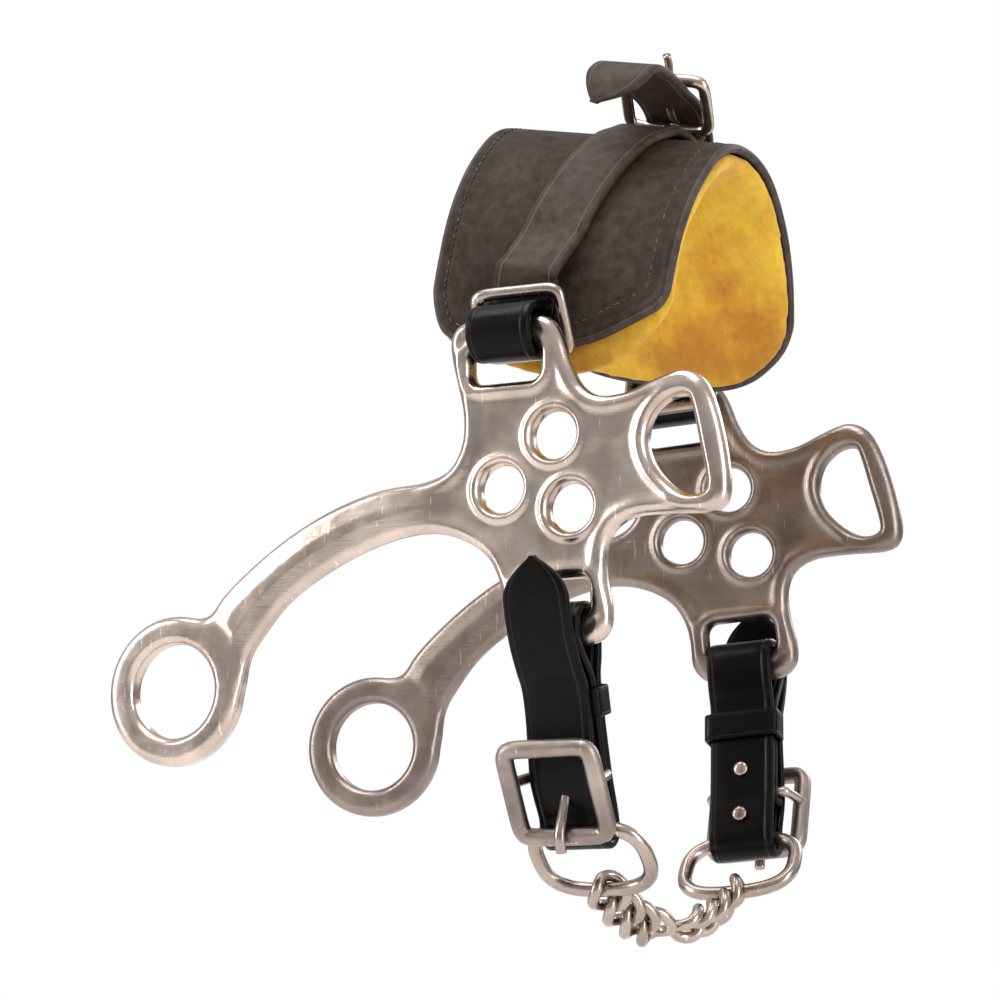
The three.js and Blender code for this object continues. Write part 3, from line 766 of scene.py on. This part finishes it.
def nose_strap(side, head, tip=0.0):
    """One half of the nose strap, from its head at the buckle to the fold round the plate's bar."""
    steps = 240
    hanger = FRAMES[side]["hanger"]
    upper = placed(PAD, sheared(head))
    lower = placed(hanger, [(0, y, z) for y, z in fold_path()])
    across = [np.array(PAD)[:3, 0]] * len(upper) + [np.array(hanger)[:3, 0]] * len(lower)
    line = spline(upper + lower, steps)
    pointed = taper(run_of(line), tip) if tip else np.zeros(steps)
    made = strap(side + "_nose_strap_leather", line, unit(spline(across, steps)), Matrix.Identity(4), "",
                 STRAP, (), pointed, 0.08, 3.5, 5)
    # the fold is of the same glossy leather as the curb straps
    made.data.materials.append(GLOSS)
    for face in made.data.polygons:
        if face.center.z < -41.5 * MM:
            face.material_index = 1
    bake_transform(made)
    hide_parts(side + "_nose_strap", side + "_strap_fold")


near_head = (arc(HEEL, 3.4, 0.2, -math.pi / 2, 4) + [(0.5, 12.4), (-5.5, 11.9)]
             + along_arch(0.44, 0.17, 8) + [(-46.6, -36), (-47, -39)])
nose_strap("near", near_head)

BILLET = [(-35.5, 11.6), (-35.6, 16), (-33.6, 21), (-29, 24.4), (-22, 24.6), (-14, 23.6), (-7, 22.2),
          (0, 21.2), (6, 19.4), (11, 16.6), (16, 12.6)]
nose_strap("far", BILLET + along_arch(0.68, 0.83, 5) + [(46.6, -36), (47, -39)], tip=11.0)

# a row of stitches near the bridle edge of the nose strap's near half
s = np.linspace(-0.10, -0.74, 60) * ARCH_HALF
x = SHEAR[0] + SHEAR[1] * on_arch(0.0, s, LIFT)[:, 2] + 8.0
here = on_arch(x, s, LIFT + STRAP_THICK / 2 + 0.05)
t = tangents(here)
normal = unit(np.cross(np.broadcast_to((1.0, 0, 0), t.shape), t))
normal *= np.sign(normal[:, 2:3] + 1e-9)
stitches("nose_strap_stitches", here[::2], t[::2], normal[::2], 1.6)


def slanted(line, shear):
    """The line with the nose strap's slant, where there is one."""
    if shear:
        line[:, 0] += shear[0] + shear[1] * line[:, 2]
    return line


def frame_between(name, a, b, width, thick, place, body, replaced, material, corner, shear=None):
    """A rectangular wire frame between two bars that lie along X, given as (y, z)."""
    height = math.hypot(b[0] - a[0], b[1] - a[1])
    angle = math.atan2(b[1] - a[1], b[0] - a[0])
    local = shift(0, (a[0] + b[0]) / 2, (a[1] + b[1]) / 2) @ turn(angle, 0, 0)
    line = np.array(placed(local, rounded_rectangle(width, height, corner, 120)))
    up = (0, -math.sin(angle), math.cos(angle))
    wire(name, slanted(line, shear), thick, place, body, material, replaced, up=up)


def tongue(name, bar, bar_radius, thick, prong, place, body, replaced, shear=None):
    """A buckle's tongue: an eye curled round its bar, then a prong through the given points."""
    radius = bar_radius + 0.35 + thick / 2
    direction = math.atan2(prong[0][1] - bar[1], prong[0][0] - bar[0])
    eye = arc(bar, radius, direction - 1.75 * math.pi, direction - 0.15 * math.pi, 9)
    line = slanted(spline([(0, y, z) for y, z in eye + prong], 60), shear)
    wire(name, line, thick, place, body, WIRE, replaced, closed=False, up=(1, 0, 0), flat=1.25)


frame_between("nose_buckle_casting", HEEL, FREE, 25, 3.6, PAD, "nose_buckle", ["nose_buckle_frame"],
              CAST, 7.0, SHEAR)
tongue("nose_buckle_prong", HEEL, 1.8, 2.0, [(1, 20.8), (-4, 27.2), (-7.4, 30.8), (-10, 32.4)], PAD,
       "nose_tongue", ["nose_buckle_tongue"], SHEAR)

# ---------- each side ----------

RING_FOLD = 4.3
# the curb buckle's bar: out from the strap's back, and down from the plate's bar
BAR_OUT = 2.6
BAR_DOWN = 38.0
BAR_WIRE = 3.0


def down(points):
    """(y, z) points from (out, down) ones."""
    return [(n, -s) for n, s in points]


def curb_path():
    """The curb strap's middle line as (y, z), from the buckle's bar over the plate and back up."""
    chape = arc((BAR_OUT, -BAR_DOWN), 3.25, 1.75 * math.pi, math.pi, 6)
    return (chape + down([(-0.2, BAR_DOWN - 5), (0, 26), (0, 17), (0.7, 12), (3.6, 7)])
            + arc((0, 0), FOLD_RADIUS, -0.25, math.pi + 0.25, 8)
            + down([(-5.2, 7.4), (-3.4, 12), (-2.9, 17), (-2.9, 30), (-3.2, 40), (-4.1, 48)])
            + arc((0, -CURB_LENGTH), RING_FOLD, math.pi, 2 * math.pi, 5)
            + down([(4.3, 48.6), (6, 43), (7, 38), (6.3, 31), (5.2, 22), (5.4, 14), (7.6, 8), (9.8, 0),
                    (10.3, -10), (9.4, -22)]))


def band(name, width, depth, height, thick, place, body, replaced):
    """A leather keeper: a closed band round the strap layers."""
    ring = rounded_rectangle(width + thick, depth + thick, 9.0, 110)
    side = np.cross(tangents(ring, closed=True), (0, 0, 1.0))
    section = rounded_section(height, thick, thick * 0.4)
    vertices, faces = sweep(ring, (0, 0, 1.0), side, section, closed=True)
    piece(name, vertices, faces, place, body, GLOSS, replaced, share_across(section, height, len(ring)))


def rivet(name, grip, place, body, replaced):
    """A domed tubular rivet along Y."""
    sides = 24
    profile = [(1.0, -0.08), (1.8, 0.12), (2.2, 0.5), (2.1, 0.85), (1.5, 1.0), (1.1, 1.0),
               (1.1, 1 + grip), (1.7, 1 + grip), (1.9, 1.25 + grip), (1.5, 1.5 + grip)]
    vertices = [(r * math.cos(a), y, r * math.sin(a)) for r, y in profile for a in around(sides)]
    piece(name, vertices, tube_faces(0, len(profile), sides), place, body, WIRE, replaced)


LINK_LENGTH = 12.5
LINK_WIDTH = 12.0
LINK_WIRE = 2.4
LINK_PLAY = 0.3
# how steeply each link hangs, from the oval ring to the middle of the chain
LINK_SLOPES = [0.68, 0.5, 0.3, 0.12]


def link_path():
    """A twisted link's middle line along Y, and how far it has turned at each point."""
    half, reach = (LINK_LENGTH - LINK_WIRE) / 2, (LINK_WIDTH - LINK_WIRE) / 2
    a = around(64)
    y = half * np.cos(a)
    twist = math.pi / 4 * (y / half) + math.pi / 4
    out = reach * np.sin(a)
    return np.stack([out * np.cos(twist), y, out * np.sin(twist)], 1), twist


def link(name, place, body, replaced):
    line, twist = link_path()
    t = tangents(line, closed=True)
    side = unit(np.cross(t, np.stack([-np.sin(twist), 0 * twist, np.cos(twist)], 1)))
    vertices, faces = sweep(line, side, np.cross(side, t), circle_section(LINK_WIRE + 0.8, 12), closed=True)
    piece(name, vertices, faces, place, body, WIRE, replaced)


def curb_buckle(side, curb):
    """The frame, bar and tongue of one side's curb buckle."""
    body = side + "_curb_buckle"
    frame_between(side + "_buckle_casting", (9.0, -53.2), (15.4, -28.4), 25.4, 4.9, curb, body,
                  [side + "_curb_buckle_frame"], PITTED, 9.0)
    # the bar's ends rise to the frame's middle
    frame_out = 11.0
    bar = [(-12.5, frame_out), (-11.7, BAR_OUT + 3), (-9.9, BAR_OUT), (0, BAR_OUT), (9.9, BAR_OUT),
           (11.7, BAR_OUT + 3), (12.5, frame_out)]
    wire(side + "_buckle_bar", spline([(x, y, -BAR_DOWN) for x, y in bar], 60), BAR_WIRE, curb, body,
         WIRE, closed=False)
    tongue(side + "_buckle_prong", (BAR_OUT, -BAR_DOWN), BAR_WIRE / 2, 2.4,
           [(5.6, -42), (9.6, -47.5), (12.9, -52.2), (12.9, -56.8)], curb, side + "_curb_tongue",
           [side + "_curb_buckle_tongue"])


def curb_strap(side, curb):
    """One side's curb strap and its keeper."""
    steps = 320
    line = spline([(0, y, z) for y, z in curb_path()], steps)
    run = run_of(line)
    strap(side + "_curb_leather", line, (1.0, 0, 0), curb, side + "_curb", GLOSS, [side + "_curb_strap"],
          taper(run[-1] - run, 11.5), 0.06)
    band(side + "_keeper_band", 19.8, 6.2, 8.0, 1.2, curb @ shift(0, -1.45, -19),
         side + "_curb_keeper", [side + "_curb_keeper"])


def chain(side):
    """One side's links, from the oval ring to the middle."""
    reach = (LINK_LENGTH - LINK_WIRE) / 2
    gap = (LINK_WIRE + LINK_PLAY) / 2
    first = (RING_WIRE + LINK_WIRE) / 2 + LINK_PLAY
    hinge = Vector((0, 0, 0))
    for i, slope in enumerate(LINK_SLOPES):
        along = Vector((0, -math.cos(slope), -math.sin(slope)))
        own = first if i == 0 else gap
        centre = hinge + along * (reach - own)
        number = str(i + 1)
        link(side + "_twisted_link_" + number, FRAMES[side]["chain"] @ shift(*centre) @ turn(slope, 0, 0),
             side + "_link_" + number, [side + "_chain_link_" + number])
        hinge += along * (2 * reach - gap - own)


def build_side(side):
    places = FRAMES[side]
    curb = places["curb"]
    frame_between(side + "_keeper_wire", (-10.4, -4.6), (-2.5, 11.6), 25.4, 3.6,
                  places["hanger"] @ shift(1, 0, 0), side + "_keeper_ring", [side + "_keeper_ring"],
                  WIRE, 8.0)
    curb_strap(side, curb)
    curb_buckle(side, curb)
    rivet(side + "_upper_stud", 5.9, curb @ shift(0, -5.4, -32.5), side + "_curb",
          [side + "_upper_rivet"])
    rivet(side + "_lower_stud", 3.4, curb @ shift(0, -6.6, -46.5), side + "_curb",
          [side + "_lower_rivet"])
    ring = rounded_rectangle(RING_WIDTH - RING_WIRE, RING_HEIGHT - RING_WIRE, 2.8, 110)[:, [0, 2, 1]]
    ring[:, 2] -= (RING_HEIGHT - RING_WIRE) / 2
    wire(side + "_ring_wire", ring, RING_WIRE + 0.2, places["ring"], side + "_ring", WIRE,
         [side + "_oval_ring"], up=(0, 1, 0))
    chain(side)


for side in SIDES:
    build_side(side)

# ---------- stage, light and camera ----------

bpy.ops.mesh.primitive_plane_add(size=12, location=(0, 0, -0.33))
floor = bpy.context.object
floor.name = "floor"
material, tree, shader = nodes_of("pale_floor")
floor_colour = ramp(tree, noise(tree, 3, 2), (0.0, (0.80, 0.79, 0.78)), (1.0, (0.84, 0.83, 0.82)))
tree.links.new(floor_colour, shader.inputs["Base Color"])
shader.inputs["Roughness"].default_value = 0.8
floor.data.materials.append(material)


def studio():
    """A world that is white to the camera and a soft grey sky to everything else."""
    world = bpy.data.worlds.new("studio")
    bpy.context.scene.world = world
    world.use_nodes = True
    tree = world.node_tree
    tree.nodes.clear()
    direction = add(tree, "ShaderNodeTexCoord")
    split = add(tree, "ShaderNodeSeparateXYZ")
    tree.links.new(direction.outputs["Generated"], split.inputs[0])
    height = add(tree, "ShaderNodeMath", operation="MULTIPLY_ADD")
    height.inputs[1].default_value = 0.5
    height.inputs[2].default_value = 0.5
    tree.links.new(split.outputs["Z"], height.inputs[0])
    sky = ramp(tree, height.outputs[0], (0.0, (0.5,)), (0.42, (0.26,)), (0.52, (0.44,)),
               (0.68, (0.78,)), (1.0, (1.0,)))
    grey = add(tree, "ShaderNodeBackground", Strength=0.75)
    tree.links.new(sky, grey.inputs["Color"])
    white = add(tree, "ShaderNodeBackground", Strength=1.0)
    white.inputs["Color"].default_value = (1, 1, 1, 1)
    path = add(tree, "ShaderNodeLightPath")
    choose = add(tree, "ShaderNodeMixShader")
    tree.links.new(path.outputs["Is Camera Ray"], choose.inputs[0])
    tree.links.new(grey.outputs[0], choose.inputs[1])
    tree.links.new(white.outputs[0], choose.inputs[2])
    tree.links.new(choose.outputs[0], add(tree, "ShaderNodeOutputWorld").inputs[0])


def softbox(name, place, size, power):
    """A rectangular light aimed at the middle of the hackamore."""
    data = bpy.data.lights.new(name, "AREA")
    data.shape = "RECTANGLE"
    data.size, data.size_y = size
    data.energy = power
    lamp = bpy.data.objects.new(name, data)
    lamp.location = place
    toward = Vector((0, 0, -0.09)) - Vector(place)
    lamp.rotation_euler = toward.to_track_quat("-Z", "Y").to_euler()
    bpy.context.scene.collection.objects.link(lamp)


studio()
softbox("top_light", (-0.1, -0.25, 0.95), (0.9, 0.7), 9)
softbox("left_light", (-0.95, -0.65, 0.25), (0.35, 0.9), 7)
softbox("right_light", (1.05, -0.35, 0.1), (0.3, 0.9), 6)
softbox("back_light", (0.2, 1.1, 0.45), (0.9, 0.6), 6)

# the camera stands 1.05 m from the plates' height and looks a little past it
MIDDLE = Vector((0, 0, -PLATE_DROP)) * MM
BACK = Vector((0.417, -0.895, -0.156)).normalized()
RIGHT = Vector((0.906, 0.423, 0)).normalized()
UP = BACK.cross(RIGHT)
camera_data = bpy.data.cameras.new("camera")
camera_data.sensor_width = 36
camera_data.lens = 134.64
camera_data.clip_start = 0.01
camera = bpy.data.objects.new("camera", camera_data)
camera.location = MIDDLE + 1.05 * BACK
look = (-BACK - 0.0345 * RIGHT + 0.00187 * UP).normalized()
camera.rotation_mode = "QUATERNION"
camera.rotation_quaternion = look.to_track_quat("-Z", "Y")
bpy.context.scene.collection.objects.link(camera)
bpy.context.scene.camera = camera
bpy.context.scene.view_settings.view_transform = "Standard"
